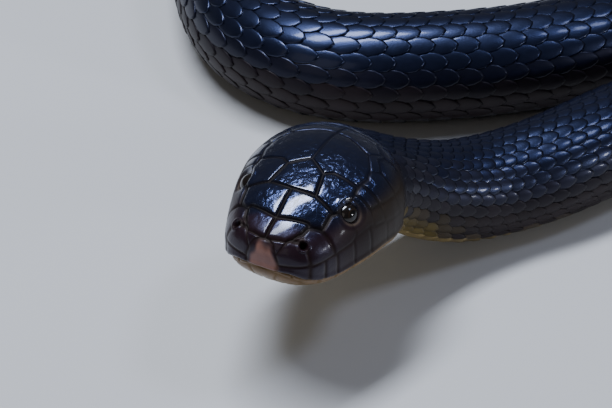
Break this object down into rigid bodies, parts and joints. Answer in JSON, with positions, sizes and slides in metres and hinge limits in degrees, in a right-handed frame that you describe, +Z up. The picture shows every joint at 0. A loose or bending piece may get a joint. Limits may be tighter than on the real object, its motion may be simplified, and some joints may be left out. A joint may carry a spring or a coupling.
{
  "type": "king cobra model",
  "caption": "Life-size still model of a king cobra lying in a loose spiral coil, head raised on a short bend of the neck.",
  "frame": {"origin": "on the floor under the middle of the coil's bounding box", "axes": "+Z up from the floor; +Y away from the snout's side, across the coil's longest way; +X to the right as the picture sees it"},
  "size_m": [0.5122, 0.5839, 0.068],
  "materials": {
    "head_shields": "smooth dark horn-like shields with a blue sheen",
    "throat_scales": "satin cream lip and throat scales",
    "neck_scales": "satin brown-black scales",
    "body_scales": "satin black scales",
    "eye": "wet gloss"
  },
  "bodies": {
    "root": {"head": "head_shields", "lower_jaw": "throat_scales", "eye_left": "eye", "eye_right": "eye", "neck": "neck_scales", "body_1": "body_scales", "body_2": "body_scales", "body_3": "body_scales", "body_4": "body_scales", "body_5": "body_scales", "body_6": "body_scales", "body_7": "body_scales", "body_8": "body_scales", "body_9": "body_scales", "tail_1": "body_scales", "tail_2": "body_scales"}
  },
  "joints": []
}
